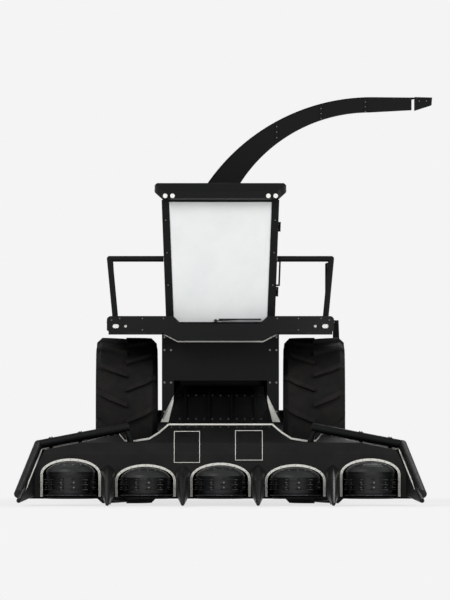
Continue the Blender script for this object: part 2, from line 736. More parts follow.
def plate(made, outline, low, high, across="y"):
    """A flat outline in (x, z), (y, z) or (x, y) millimetres, made thick between two places."""
    def spot(a, b, depth):
        return {"y": at(a, depth, b), "x": at(depth, a, b), "z": at(a, b, depth)}[across]
    verts = [made.verts.new(spot(a, b, low)) for a, b in outline]
    face = made.faces.new(verts)
    grown = bmesh.ops.extrude_face_region(made, geom=[face], use_keep_orig=True)["geom"]
    ends = [g for g in grown if isinstance(g, bmesh.types.BMVert)]
    bmesh.ops.translate(made, verts=ends, vec=spot(0, 0, high) - spot(0, 0, low))


def arch_path(middle, spring, inset, step):
    """Points (x, z) along a pocket's arch, in millimetres, from the right foot over the crown to the left."""
    half, rise = 367 - inset, CROWN_RISE - inset
    curve = [(middle + half * a, spring + rise * b) for a, b in map(ray, range(0, 181, step))]
    legs = range(140, spring - 20, 75)
    return [(middle + half, z) for z in legs] + curve + [(middle - half, z) for z in reversed(legs)]


class MESH_OT_harvester_header(bpy.types.Operator):
    """Add the header's trim, bare plates, seams, screws, drum bolts, guard fittings and hard lines"""
    bl_idname = "mesh.harvester_header"
    bl_label = "Header"

    def execute(self, context):
        looks = context.scene.harvester_looks
        zinc, steel, pale = map(named, ("zinc_plated_fastener", "powder_coated_steel", "pale_wear_strip"))
        gloss, cast = named("sprayed_fibreglass"), named("painted_casting")
        line = looks.trim * 1000

        # thin outlines of the two plates, and the plates themselves
        made, plates = bmesh.new(), bmesh.new()
        for x0, z0, x1, z1 in ((-569, 526, -252, 909), (181, 555, 516, 918)):
            a, b, c, d = x0 + line, z0 + line, x1 - line, z1 - line
            hood_patch(plates, a, b, c, d, 3.0, 3.0)
            for corners in ((x0, z0, x1, b), (x0, d, x1, z1), (x0, b, a, d), (c, b, x1, d)):
                hood_patch(made, *corners, 4.5, 4.5)
        finished("hood_plate_outlines", made, "feeder", pale, smooth=False, turned=True)
        finished("hood_plates", plates, "feeder", gloss, smooth=False, turned=True)

        # pale edge strip between the hood and the guard bars, and a dark web that closes their corner
        made, webs = bmesh.new(), bmesh.new()
        strip = ((1240, 872), (2151, 683), (2196, 690), (2184, 722), (1240, 912))
        web = ((2151, 683), (2384, 214), (2384, 204), (2420, 204), (2196, 690))
        # bright capping on the hood's rear edge, where it drops between the guard bars and the feeder
        edge = [(634, 980), (752, 880), (870, 806), (1097, 769), (1172, 781), (1246, 868)]
        capping = [(x, z - 3) for x, z in edge] + [(x + 4, z + 22) for x, z in reversed(edge)]
        sheet, rear = (-1735, -1731), (-1634, -1622)
        for s in (-1, 1):
            for into, outline, between in ((made, strip, sheet), (webs, web, sheet), (made, capping, rear)):
                plate(into, [(s * x, z) for x, z in outline], *between)
        finished("hood_edge_strips", made, "feeder", pale, smooth=False, turned=True)
        finished("guard_webs", webs, "feeder", steel, smooth=False, turned=True)

        # screws of the wear strips and seams between the hood's mouldings
        made, beads = bmesh.new(), bmesh.new()
        for middle, spring in DRUMS:
            for x, z in arch_path(middle, spring, 13.5, 15):
                disc_drum(made, at(x, FACE_Y - 6.5, z), (0, -1, 0), 0.006, 0.003, 10, 0.7)
        for s in (-1, 1):
            for x, low, high in ((458, 560, 972), (1375, 600, 830)):
                hood_patch(beads, s * x - 5, low, s * x + 5, high, 4.0, 5.0)
        hood_patch(beads, -625, 940, 625, 946, 3.0, 4.0)
        for x in range(-600, 601, 100):
            screw(made, at(x, hood_y(958) - 2, 958), (0, -0.42, 0.9))
        finished("header_screws", made, "feeder", zinc)
        finished("hood_seams", beads, "feeder", gloss, smooth=False, turned=True)

        # drums: dome screws, tooth-segment bolts and plate seams
        for number, (middle, spring) in enumerate(DRUMS, 1):
            body = "drum_%d" % number
            made = bmesh.new()
            for x, y in (ray(30 * k + 8) for k in range(12)):
                dome = at(middle + 202 * x, FACE_Y + 202 * y, spring + 121)
                disc_drum(made, dome, (x * 0.6, y * 0.6, 1), 0.011, 0.008, 12, 0.75)
                for z in (225, 285):
                    hex_bolt(made, at(middle + 297 * x, FACE_Y + 297 * y, z), (x, y, 0), 0.016, 0.01)
            finished("drum_bolts_%d" % number, made, body, zinc)
            made = bmesh.new()
            seams = [[(0.296, z / 1000 - 0.006), (0.303, z / 1000 - 0.004), (0.303, z / 1000 + 0.004),
                      (0.296, z / 1000 + 0.006)] for z in (350, spring - 12) if z < spring - 5]
            lathe(made, seams, at(middle, FACE_Y, 0), (0, 0, 1), 72, closed=True)
            finished("drum_bands_%d" % number, made, body, named("worn_%s" % body), turned=True)

        # clamps on the guard bars at their posts, end plugs, feet, and pale strips inside their legs
        made, plugs, feet, rub = bmesh.new(), bmesh.new(), bmesh.new(), bmesh.new()
        for s in (-1, 1):
            top, knee, tip = (at(s * x, y, z) for x, y, z in GUARD_BAR)
            way, leg = (knee - top).normalized(), (knee - tip).normalized()
            for x in (1330, 1720, 2080):
                spot = top + (knee - top) * ((x - GUARD_BAR[0][0]) / (GUARD_BAR[1][0] - GUARD_BAR[0][0]))
                band(made, spot, way, 0.0535, 0.058, 0.022, 40)
                for k in (-0.013, 0.013):
                    hex_bolt(made, spot + way * k + Vector((0, 0, 0.057)), (0, 0, 1), looks.screw, 0.01)
            for end, axis, deep, lip, r in ((top, way, 0.006, 0.046, 0.05), (tip, leg, 0.008, 0.04, 0.047)):
                lathe(plugs, [(0.0, -deep), (lip, -0.004), (r, 0.0), (r, 0.004), (0.0, 0.004)], end, axis, 36)
            inward, reach = Vector((-s * leg.z, 0, s * leg.x)).normalized(), (knee - tip).length
            strip = slab(rub, (0.052, -0.005, 0.12 * reach), (0.068, 0.005, 0.93 * reach))
            bmesh.ops.transform(rub, verts=strip, matrix=Matrix.Translation(tip)
                                @ Matrix((inward, leg.cross(inward), leg)).transposed().to_4x4())
            tube(feet, [at(s * 1160, -1791, 944), at(s * 1100, -1790, 768)], 0.036, 20)
            disc_drum(feet, at(s * 1100, -1790, 776), (0, 0, 1), 0.058, 0.01, 28)
        finished("guard_clamps", made, "feeder", steel, turned=True)
        finished("guard_plugs", plugs, "feeder", named("black_rubber_seal"), turned=True)
        finished("guard_feet", feet, "feeder", steel, turned=True)
        finished("guard_rub_strips", rub, "feeder", pale, smooth=False, turned=True)

        # hard lines and valve block behind the hood, and bolts along the back wall
        made, bolts, wall_y = bmesh.new(), bmesh.new(), -1479
        for y, z in ((-1552, 668), (-1538, 690)):
            tube(made, [at(-2080, y, z - 130), at(-1500, y, z), at(-700, y, z), at(-640, y + 12, z + 90),
                        at(-560, y + 52, z + 120)], 0.007, 10)
        for s in (-1, 1):
            for x in range(700, 2151, 145):
                for z in (609, 96):
                    hex_bolt(bolts, at(s * x, wall_y, z), (0, 1, 0), looks.screw, 0.011)
        block(made, at(-570, -1530, 770), at(-430, -1482, 860), 0.004)
        finished("header_hydraulics", made, "feeder", cast, turned=True)
        finished("header_back_bolts", bolts, "feeder", zinc)

        # bolts of the feeder housing's sloping top flanges
        bolts = bmesh.new()
        slope = [(-1480, 975), (-340, 1453)]
        for y in (-1300, -620):
            for x in range(-500, 501, 100):
                hex_bolt(bolts, at(x, y, along(slope, y) + 2), (0, -0.387, 0.922), looks.screw, 0.011)
        finished("feeder_bolts", bolts, "feeder", zinc)
        return {"FINISHED"}


class MESH_OT_harvester_front(bpy.types.Operator):
    """Add the pale throat plates, the shield's seal and bolts, lamp bezels and lens rings"""
    bl_idname = "mesh.harvester_front"
    bl_label = "Front"

    def execute(self, context):
        looks = context.scene.harvester_looks
        zinc, pale, seal = map(named, ("zinc_plated_fastener", "pale_wear_strip", "black_rubber_seal"))
        ahead, shield_y = (0, -1, 0), -870
        made = bmesh.new()
        throat = ((578, 1345), (578, 1275), (641, 1013), (737, 1013), (724, 1046))
        for s in (-1, 1):
            plate(made, [(s * x, z) for x, z in throat], -844, -841.3)
        finished("throat_faces", made, "chassis", pale, smooth=False, turned=True)

        # bezels round the roof lamps and the head lamps
        made = bmesh.new()
        for s in (-1, 1):
            for x in ROOF_LAMPS:
                lathe(made, [(0.028, -0.004), (0.035, -0.004), (0.036, 0.0), (0.033, 0.005), (0.029, 0.005)],
                      at(s * x, -1238, ROOF_LAMP_Z), ahead, 36, closed=True)
            for x, wide, tall in ((1290, 86, 58), (1168, 44, 40)):
                flat, r = (wide - tall) / 2, tall / 2
                end = [(flat + r * a, r * b) for a, b in map(ray, range(-90, 91, 15))]
                path = end + [(-a, -b) for a, b in end]
                loop_tube(made, [at(s * (x + a), -1081, HEAD_LAMP_Z + b) for a, b in path], 0.0045)
        finished("lamp_bezels", made, "chassis", seal, turned=True)

        # bright seal along the shield's head, under the lamp bar
        made = bmesh.new()
        foot = [(-720, 2112), (-527, 2013), (527, 2013), (720, 2112)]
        plate(made, foot + [(x, z - 16) for x, z in reversed(foot)], -880, -871)
        finished("shield_seal", made, "chassis", pale, smooth=False, turned=True)

        # reflector ribs behind the lenses, as fine pale rings on their faces
        made = bmesh.new()
        lamps = [(x, -1243, ROOF_LAMP_Z, (0.009, 0.018)) for x in ROOF_LAMPS]
        lamps.append((1290, -1078, HEAD_LAMP_Z, (0.007, 0.014)))
        for s in (-1, 1):
            for x, y, z, radii in lamps:
                for r in radii:
                    ring = [(r - 0.0012, 0.0), (r, 0.0016), (r + 0.0012, 0.0)]
                    lathe(made, ring, at(s * x, y, z), ahead, 28, closed=True)
        finished("lens_rings", made, "chassis", named("lamp_lens"), turned=True)

        # screws along the lamp bar's curved face
        made = bmesh.new()
        bend, face = 4500, -1250
        for s in (-1, 1):
            for x, z in ((640, 2065), (700, 2290), (960, 2290), (1240, 2290), (960, 2150), (1340, 2270)):
                y = face + bend - math.sqrt(bend ** 2 - x ** 2)
                disc_drum(made, at(s * x, y - 2, z), ahead, 0.009, 0.006, 14, 0.8)
        finished("lamp_bar_screws", made, "chassis", zinc)
        made = bmesh.new()
        spots = [(s * x, z) for s in (-1, 1) for x, z in ((690, 1140), (610, 1500), (690, 1500), (610, 1900),
                                                          (690, 1900), (610, 2060), (690, 2060))]
        for x, z in spots + [(x, 2060) for x in range(-500, 501, 200)]:
            hex_bolt(made, at(x, shield_y, z), ahead, looks.screw, 0.011)
        finished("shield_bolts", made, "chassis", zinc)
        return {"FINISHED"}


def cab_x(z):
    """Half width of the cab at a height, in the CAD's millimetres."""
    return along(CAB_SIDE, z)


def cab_y(z):
    """Where the cab's leaning front lies at a height, in the CAD's millimetres."""
    return along(CAB_FRONT, z)


def rounded(a, b, radius, step=15):
    """Points of a rounded rectangle between two corners, counter-clockwise."""
    points = []
    for x, y, start in ((b[0] - radius, a[1] + radius, -90), (b[0] - radius, b[1] - radius, 0),
                        (a[0] + radius, b[1] - radius, 90), (a[0] + radius, a[1] + radius, 180)):
        points += [(x + radius * c, y + radius * d) for c, d in map(ray, range(start, start + 91, step))]
    return points


class MESH_OT_harvester_cab(bpy.types.Operator):
    """Add window seals, wiper, door latch, pedals, display, mat, roof seams, vents and pillar screws"""
    bl_idname = "mesh.harvester_cab"
    bl_label = "Cab"

    def execute(self, context):
        zinc, seal, trim = map(named, ("zinc_plated_fastener", "black_rubber_seal", "cab_trim_plastic"))

        # rubber seals round the panes
        made = bmesh.new()
        low, top, bead = 2240, 3728, 0.008
        foot, head = cab_x(low) - 87, cab_x(top) - 87
        edge = [(75 - foot, low), (foot - 75, low), (foot, low + 70), (head, top), (-head, top),
                (-foot, low + 70)]
        loop_tube(made, [at(x, cab_y(z) + 9, z) for x, z in edge], bead)
        pane = rounded((-715, 2390), (325, 3625), 50)
        loop_tube(made, [at(-cab_x(z) + 9, y, z) for y, z in pane], bead)
        loop_tube(made, [at(x, 552, z) for x, z in rounded((-420, 2900), (420, 3660), 60)], bead)
        finished("window_seals", made, "chassis", seal, turned=True)
        made = bmesh.new()
        loop_tube(made, [at(cab_x(z) - 9, y, z) for y, z in pane], bead)
        finished("door_window_seal", made, "cab_door", seal, turned=True)

        # door latch and lock under the grab handle
        made = bmesh.new()
        skin = cab_x(2620)
        block(made, at(skin - 6, 318, 2560), at(skin + 16, 372, 2650), 0.006)
        disc_drum(made, at(skin + 17, 345, 2632), (1, 0, 0), 0.011, 0.008, 20)
        finished("door_latch", made, "cab_door", trim, turned=True)

        # wiper, parked along the foot of the windscreen
        made = bmesh.new()
        disc_drum(made, at(-60, cab_y(2262) - 16, 2262), (0, -1, 0), 0.02, 0.03, 24, 0.85)
        tube(made, [at(-60, cab_y(2262) - 30, 2262), at(80, cab_y(2270) - 32, 2268),
                    at(240, cab_y(2276) - 24, 2276)], 0.0065, 10)
        slab(made, at(-20, cab_y(2274) - 24, 2270), at(500, cab_y(2274) - 16, 2279))
        slab(made, at(-20, cab_y(2284) - 17, 2279), at(500, cab_y(2284) - 13, 2288))
        finished("wiper", made, "chassis", seal, turned=True)

        # pedals: each is made at the origin and then tipped into its place
        made = bmesh.new()
        for x in (-185, 160):
            block(made, (-0.045, -0.006, -0.05), (0.045, 0.006, 0.05), 0.005)
            bmesh.ops.transform(made, verts=[v for v in made.verts if v.co.length < 0.12],
                                matrix=Matrix.Translation(at(x, -760, 2330)) @ Matrix.Rotation(0.7, 4, "X"))
            tube(made, [at(x, -748, 2320), at(x, -735, 2270), at(x, -730, 2231)], 0.009, 10)
        finished("pedals", made, "chassis", named("powder_coated_steel"), turned=True)
        made = bmesh.new()
        block(made, at(-430, -640, 2230.5), at(430, -270, 2238), 0.003)
        for y in range(-622, -296, 25):
            slab(made, at(-400, y, 2237), at(400, y + 10, 2241))
        finished("floor_mat", made, "chassis", seal, turned=True)

        # blank display on its arm, on the right console
        made = bmesh.new()
        block(made, (-0.14, -0.014, -0.095), (0.14, 0.014, 0.095), 0.008)
        tilt = Matrix.Translation(at(-430, -560, 2960)) @ Matrix.Rotation(math.radians(-28), 4, "Z")
        bmesh.ops.transform(made, verts=made.verts[:], matrix=tilt)
        tube(made, [at(-430, -545, 2880), at(-440, -400, 2800), at(-400, -250, 2780)], 0.012, 12)
        tube(made, [at(-400, -250, 2790), at(-380, -120, 2790), at(-355, -20, 2800)], 0.012, 12)
        finished("display_case", made, "chassis", trim, turned=True)
        made = bmesh.new()
        glass = slab(made, (-0.125, 0.0125, -0.08), (0.125, 0.0155, 0.08))
        bmesh.ops.transform(made, verts=glass, matrix=tilt)
        finished("display_glass", made, "chassis", named("blank_display_glass"), turned=True)

        # roof: belt seam, hatch, rear vents; screws down the front pillars
        made = bmesh.new()
        loop_tube(made, [at(x, y, 3862) for x, y in rounded((-810, -1235), (810, 590), 140, 10)], 0.005)
        block(made, at(-260, -420, 3955), at(260, 100, 3962), 0.003)
        finished("roof_seams", made, "chassis", named("sprayed_fibreglass"), turned=True)
        made = bmesh.new()
        for x in (-380, 380):
            for z in range(3792, 3873, 20):
                slab(made, at(x - 150, 588, z), at(x + 150, 594, z + 9))
        finished("roof_vents", made, "chassis", seal, turned=True)
        made = bmesh.new()
        for s in (-1, 1):
            for z in (2300, 2700, 3100, 3500):
                screw(made, at(s * (cab_x(z) - 42), cab_y(z) - 2, z), (0, -1, 0))
        finished("pillar_screws", made, "chassis", zinc)
        return {"FINISHED"}


def puffed(name, made, swell, lines):
    """Foam under a sewn cover: blown up by a cloth run, held within swell, then sewn in along lines."""
    scene, piece = bpy.context.scene, placed(name, made)

    def settle():
        bpy.context.view_layer.update()
        whole = bpy.data.meshes.new_from_object(piece.evaluated_get(bpy.context.evaluated_depsgraph_get()))
        piece.modifiers.clear()
        piece.data = whole

    remesh = piece.modifiers.new("even", "REMESH")
    remesh.mode, remesh.voxel_size, remesh.use_smooth_shade = "VOXEL", SEAT_GRAIN, True
    settle()
    start = [v.co.copy() for v in piece.data.vertices]
    cloth = piece.modifiers.new("air", "CLOTH")
    cloth.settings.use_pressure = True
    cloth.settings.uniform_pressure_force = SEAT_PRESSURE
    cloth.settings.effector_weights.gravity = 0.0
    cloth.settings.quality = 5
    cloth.point_cache.frame_start, cloth.point_cache.frame_end = 1, SEAT_FRAMES
    for moment in range(1, SEAT_FRAMES + 1):
        scene.frame_set(moment)
    settle()
    scene.frame_set(1)
    for vertex, before in zip(piece.data.vertices, start):
        moved = vertex.co - before
        if moved.length > swell:
            vertex.co = before + moved * (swell / moved.length)
    facing = [v.normal.copy() for v in piece.data.vertices]
    for vertex, normal in zip(piece.data.vertices, facing):
        for axis, where, up, deep in lines:
            if abs(vertex.co[axis] - where) < 0.02 and normal.dot(up) > 0.35:
                vertex.co -= up * deep * math.exp(-((vertex.co[axis] - where) / CHANNEL) ** 2)
    finer = piece.modifiers.new("fine", "SUBSURF")
    finer.levels = finer.render_levels = 1
    return piece


def girth(piece, centre, across, rise, off, count=64):
    """Points round a padded piece where its cover is sewn, on a plane through its middle."""
    across, rise = Vector(across).normalized(), Vector(rise).normalized()
    normal = across.cross(rise)
    skin = [v.co - centre for v in piece.data.vertices if abs((v.co - centre).dot(normal)) < 0.008]
    ring = []
    for k in range(count):
        turn = 2 * math.pi * k / count
        way = across * math.cos(turn) + rise * math.sin(turn)
        side = across * -math.sin(turn) + rise * math.cos(turn)
        near = [v for v in skin if abs(v.dot(side)) < 0.02 and v.dot(way) > 0] or skin
        ring.append(centre + way * (max(v.dot(way) for v in near) + off))
    return ring


class MESH_OT_harvester_seat(bpy.types.Operator):
    """Make the driver's padded seat with its piping"""
    bl_idname = "mesh.harvester_seat"
    bl_label = "Seat"

    def execute(self, context):
        looks = context.scene.harvester_looks
        cloth, seal = named("seat_cloth"), named("black_rubber_seal")
        lean = math.radians(8)
        back_up = Vector((0, math.sin(lean), math.cos(lean)))
        back_face = Vector((0, -math.cos(lean), math.sin(lean)))
        up = Vector((0, 0, 1))
        base, back = at(0, -70, 2825), at(0, 276, 3118)
        # seams as (axis, place, way out, depth)
        seams = [(0, CENTRE_X + s * 0.15, up, 0.008) for s in (-1, 1)]
        seams += [(1, base.y + k, up, 0.006) for k in (-0.1, 0.06)]
        back_seams = [(0, CENTRE_X + s * 0.14, back_face, 0.008) for s in (-1, 1)]
        back_seams += [(2, back.z + k, back_face, 0.006) for k in (-0.14, 0.02, 0.17)]
        # each cushion: its middle, size, lean and seams
        parts = []
        for name, middle, size, turn, lines in (
                ("seat_cushion", base, (0.45, 0.47, 0.092), 0.0, seams),
                ("seat_back", back, (0.43, 0.088, 0.59), -lean, back_seams)):
            made = bmesh.new()
            block(made, [-k / 2 for k in size], [k / 2 for k in size], 0.034, 4)
            where = Matrix.Translation(middle) @ Matrix.Rotation(turn, 4, "X")
            bmesh.ops.transform(made, verts=made.verts[:], matrix=where)
            piece = puffed(name, made, looks.plump, lines)
            piece.data.materials.clear()
            piece.data.materials.append(cloth)
            for polygon in piece.data.polygons:
                polygon.use_smooth = True
            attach(piece, "chassis")
            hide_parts("seat")
            parts.append(piece)
        made = bmesh.new()
        for piece, middle, rise in zip(parts, (base, back), ((0, 1, 0), back_up)):
            loop_tube(made, girth(piece, middle, (1, 0, 0), rise, 0.001), 0.0045)
        finished("seat_piping", made, "chassis", seal, turned=True)
        # pan under the cushion, and the brackets that carry the back
        made = bmesh.new()
        block(made, at(-215, -285, 2762), at(215, 150, 2774), 0.004)
        for s in (-1, 1):
            tube(made, [at(s * 225, 120, 2770), at(s * 235, 215, 2800), at(s * 235, 262, 2960)], 0.014, 12)
        finished("seat_frame", made, "chassis", named("cab_trim_plastic"), turned=True)
        return {"FINISHED"}


def hood_top_z(y):
    """Height of the engine hood's top line, in the CAD's millimetres."""
    return along(HOOD_TOP, y)


class MESH_OT_harvester_hood(bpy.types.Operator):
    """Add the engine hood's seams, latches, gauze, screws, rear lamps, bare number plate and exhaust bands"""
    bl_idname = "mesh.harvester_hood"
    bl_label = "Engine hood"

    def execute(self, context):
        zinc, seal, gloss = map(named, ("zinc_plated_fastener", "black_rubber_seal", "sprayed_fibreglass"))
        gauze = named("woven_wire_mesh")

        for side, s in SIDES.items():
            door = "hood_door_" + side
            made = bmesh.new()
            plate(made, [(3010, 1800), (3720, 1800), (3720, 2360), (3010, 2360)], s * 626, s * 622.5, "x")
            finished("louvre_mesh_" + side, made, door, gauze, smooth=False, turned=True)
            made = bmesh.new()
            low, high = sorted((s * 649, s * 656))
            for y in (2300, 3640):
                block(made, at(low, y - 45, 1700), at(high, y + 45, 1740), 0.003)
                disc_drum(made, at(s * 656, y, 1720), (s, 0, 0), 0.012, 0.008, 20)
            finished("door_latches_" + side, made, door, seal, turned=True)
            made = bmesh.new()
            loop_tube(made, [at(s * 650, y, z) for y, z in rounded((2150, 1730), (2950, 2370), 40)], 0.004)
            finished("door_swage_" + side, made, door, gloss, turned=True)
            for name, spots in (
                    ("hood_screws_", [(y, hood_top_z(y) - 75) for y in range(1470, 4300, 205)]
                     + [(y, 1400) for y in range(1440, 1921, 120)]),
                    ("side_panel_screws_", [(y + tilt, z) for y in (430, 800, 1170)
                                            for z, tilt in ((1500, 0), (2050, 30))])):
                made = bmesh.new()
                for y, z in spots:
                    screw(made, at(s * HOOD_SKIN, y, z), (s, 0, 0))
                finished(name + side, made, "chassis", zinc)

        # gauze over the side panels' louvres and the top intake, seams across the hood
        made = bmesh.new()
        for s in (-1, 1):
            plate(made, [(600, 1585), (1200, 1585), (1200, 1975), (600, 1975)], s * 616, s * 612, "x")
        plate(made, [(-280, 1640), (500, 1640), (500, 2350), (-280, 2350)], 2790, 2786, "z")
        finished("intake_mesh", made, "chassis", gauze, smooth=False, turned=True)
        made = bmesh.new()
        for y, foot in ((2030, 1400), (3900, 1500)):
            z = hood_top_z(y) - 2
            hoop = ((-650, foot), (-HOOD_SKIN, z), (HOOD_SKIN, z), (650, foot))
            tube(made, [at(x, y, height) for x, height in hoop], 0.004, 8)
        finished("hood_beads", made, "chassis", gloss, turned=True)

        # rear lamps: red lenses with their bezels, and a bare number plate
        made, rims = bmesh.new(), bmesh.new()
        for x in (-540, 540):
            for low, high in ((1288, 1372), (1388, 1437)):
                block(made, at(x - 57, 4379, low), at(x + 57, 4384, high), 0.002)
            rim = rounded((x - 62, 1283), (x + 62, 1442), 10, 30)
            loop_tube(rims, [at(a, 4382, z) for a, z in rim], 0.004)
        finished("tail_lenses", made, "chassis", named("red_acrylic_lens"), turned=True)
        finished("tail_bezels", rims, "chassis", seal, turned=True)
        made = bmesh.new()
        block(made, at(-260, 4350.5, 1290), at(260, 4353, 1400), 0.001)
        finished("bare_number_plate", made, "chassis", named("pale_wear_strip"), turned=True)
        made = bmesh.new()
        for x in range(-470, 471, 235):
            for z in (1452, 2218):
                screw(made, at(x, 4351, z), (0, 1, 0), 0.007, 0.005)
        finished("grille_screws", made, "rear_grille", zinc)
        made = bmesh.new()
        block(made, at(380, 4350, 1790), at(420, 4368, 1880), 0.005)
        finished("grille_latch", made, "rear_grille", seal, turned=True)

        # exhaust: clamp bands with their lugs round the silencer, and bands on the pipe
        made = bmesh.new()
        x, y = -430, 1720
        for z in (2960, 3090, 3220):
            band(made, at(x, y, z), (0, 0, 1), 0.0948, 0.0985, 0.012, 48)
            slab(made, at(x - 10, y + 90, z - 14), at(x + 10, y + 114, z + 14))
        for z in (3330, 3400):
            band(made, at(x, y, z), (0, 0, 1), 0.0548, 0.0585, 0.01, 40)
        finished("exhaust_bands", made, "chassis", zinc, turned=True)
        return {"FINISHED"}


class MESH_OT_harvester_deck(bpy.types.Operator):
    """Add the deck's screws and treads, step grips, rail flanges and tank fittings"""
    bl_idname = "mesh.harvester_deck"
    bl_label = "Deck and ladder"

    def execute(self, context):
        zinc, steel, seal = map(named, ("zinc_plated_fastener", "powder_coated_steel", "black_rubber_seal"))
        made = bmesh.new()
        for s in (-1, 1):
            for y in range(-900, 1651, 150):
                screw(made, at(s * 1401, y, DECK_Z + 15), (s, 0, 0), 0.009)
                screw(made, at(s * 765, y, DECK_Z + 1), (0, 0, 1), 0.009, 0.005)
        finished("deck_screws", made, "chassis", zinc)
        # raised treads pressed into the deck, where a foot lands, leaning left and right by turns
        made = bmesh.new()
        for s in (-1, 1):
            for i in range(30):
                for k, x in enumerate(range(820, 1281, 115)):
                    wide = slab(made, (-0.038, -0.005, -0.001), (0.038, 0.005, 0.003))
                    turn = Matrix.Rotation(math.radians(-40 if (i + k) % 2 else 40), 4, "Z")
                    bmesh.ops.transform(made, verts=wide,
                                        matrix=Matrix.Translation(at(s * x, -900 + 85 * i, DECK_Z)) @ turn)
        finished("deck_treads", made, "chassis", named("tread_plate"), smooth=False)
        # ladder: serrated grips on each step, and rubber feet
        made = bmesh.new()
        for i in range(6):
            inner, outer, z = 1468 - i * 14, 1526 - i * 13, 470 + i * 300
            for k in range(18):
                y = 1124 + k * 20.7
                slab(made, at(inner, y - 3, z - 1), at(outer, y + 3, z + 4))
        finished("step_grips", made, "chassis", zinc, smooth=False)
        made = bmesh.new()
        for y in (1102.5, 1497.5):
            block(made, at(1444, y - 17, 396), at(1546, y + 17, 440), 0.006)
        finished("ladder_feet", made, "chassis", seal, turned=True)
        # flanges at the feet of the rails and of the lamp bar's posts: place, thickness, radius and hole
        made, bolts = bmesh.new(), bmesh.new()
        feet = [(s * 1325, y, 2, 0.04, 0.0205) for s in (-1, 1) for y in (760, 880, 1540, 1660)]
        feet += [(s * 1289, -905, 3, 0.062, 0.037) for s in (-1, 1)]
        for x, y, tall, ring, hole in feet:
            lathe(made, [(hole, 0.0), (ring, 0.0), (ring, tall * 0.003), (hole, tall * 0.004)],
                  at(x, y, DECK_Z + 0.4), (0, 0, 1), 32, closed=True)
            for a, b in around(4, 0.5):
                spot = at(x, y, DECK_Z + tall * 3) + Vector((a, b, 0)) * (ring - 0.012)
                hex_bolt(bolts, spot, (0, 0, 1), 0.013, 0.008)
        finished("rail_flanges", made, "chassis", steel, turned=True)
        finished("rail_flange_bolts", bolts, "chassis", zinc)
        # fuel tanks: filler caps and gauge tubes
        made = bmesh.new()
        for s in (-1, 1):
            lathe(made, [(0.0, 0.02), (0.03, 0.02), (0.043, 0.014), (0.044, 0.0), (0.0, 0.0)],
                  at(s * 560, 1600, 1390), (0, 0, 1), 30)
            gauge = ((701, 700), (712, 720), (712, 1180), (701, 1200))
            tube(made, [at(s * x, 1500, z) for x, z in gauge], 0.007, 8)
        finished("tank_fittings", made, "chassis", seal, turned=True)
        return {"FINISHED"}


def spout_arc(depth, first, last, count):
    """Points (x, z) on an arc that lies depth millimetres inside the spout's back, between two angles."""
    (cx, cz), radius = SPOUT_CENTRE, SPOUT_BACK - depth
    return [(cx + radius * a, cz + radius * b)
            for a, b in (ray(first + (last - first) * k / (count - 1)) for k in range(count))]


class MESH_OT_harvester_spout(bpy.types.Operator):
    """Add the spout's flange bolts, rolled lips, hydraulic line with its clips, and pin heads"""
    bl_idname = "mesh.harvester_spout"
    bl_label = "Spout"

    def execute(self, context):
        zinc, steel = named("zinc_plated_fastener"), named("powder_coated_steel")
        # turret's flange bolts, apart from those that its cheeks and ram bracket would stand on
        made = bmesh.new()
        for a, b in around(28):
            x, y = 278 * a, 278 * b
            if abs(abs(y) - 177) > 26 and (abs(y) > 190 or abs(x) > 252) and not (25 < x < 215 and y > 160):
                hex_bolt(made, at(x, TOWER_Y + y, 3345.3), (0, 0, 1), 0.022, 0.014)
        finished("turret_bolts", made, "turret", zinc)
        # rolled lips along both edges of the spout's back
        made = bmesh.new()
        for y in (-166, 166):
            tube(made, [at(x, TOWER_Y + y, z) for x, z in spout_arc(10, 151, 91, 40)], 0.006, 8)
        finished("spout_lips", made, "spout", steel, turned=True)
        # hard lines to the flap, on the left side, with their clips
        made, clips = bmesh.new(), bmesh.new()
        line = spout_arc(85, 148, 92, 34)
        for drop in (0, 18):
            tube(made, [at(x, TOWER_Y + 174, z - drop) for x, z in line], 0.0055, 8)
        for x, z in line[3::5]:
            block(clips, at(x - 12, TOWER_Y + 164.5, z - 32), at(x + 12, TOWER_Y + 182, z + 12), 0.003)
            screw(clips, at(x, TOWER_Y + 183, z - 9), (0, 1, 0), 0.006)
        finished("spout_lines", made, "spout", steel, turned=True)
        finished("spout_clips", clips, "spout", named("black_rubber_seal"), turned=True)
        # bolts through the stiffening bands and round the root, where the ram's lug leaves no room for all
        made = bmesh.new()
        for side in (-1, 1):
            for x in (700, 1250, 1800):
                for depth in (60, 120, 180):
                    rise = math.sqrt((SPOUT_BACK - depth) ** 2 - (x - SPOUT_CENTRE[0]) ** 2)
                    screw(made, at(x, TOWER_Y + side * 173.5, SPOUT_CENTRE[1] + rise), (0, side, 0))
            for x in (-190, 190) if side < 0 else (-190,):
                for z in (3770, 3850, 3930):
                    screw(made, at(x, TOWER_Y + side * 165.5, z), (0, side, 0), 0.007, 0.005)
        finished("spout_bolts", made, "spout", zinc)
        made = bmesh.new()
        for y in (-140, -50, 50, 140):
            screw(made, at(2530, TOWER_Y + y, 5036), (0, 0, 1), 0.008, 0.003)
        for side in (-1, 1):
            for x in (2470, 2560):
                screw(made, at(x, TOWER_Y + side * 181.5, 4990), (0, side, 0), 0.008, 0.005)
        finished("flap_screws", made, "flap", zinc)
        # pin heads of the spout's lift cylinder
        for name, body, spot, tall in (("ram_foot_pin", "turret", at(120, TOWER_Y + 302, 3430), 0.01),
                                       ("ram_head_pin", "spout", at(265, TOWER_Y + 274, 4180), 0.008)):
            made = bmesh.new()
            disc_drum(made, spot, (0, 1, 0), 0.023, tall, 24, 0.9)
            finished(name, made, body, zinc)
        return {"FINISHED"}


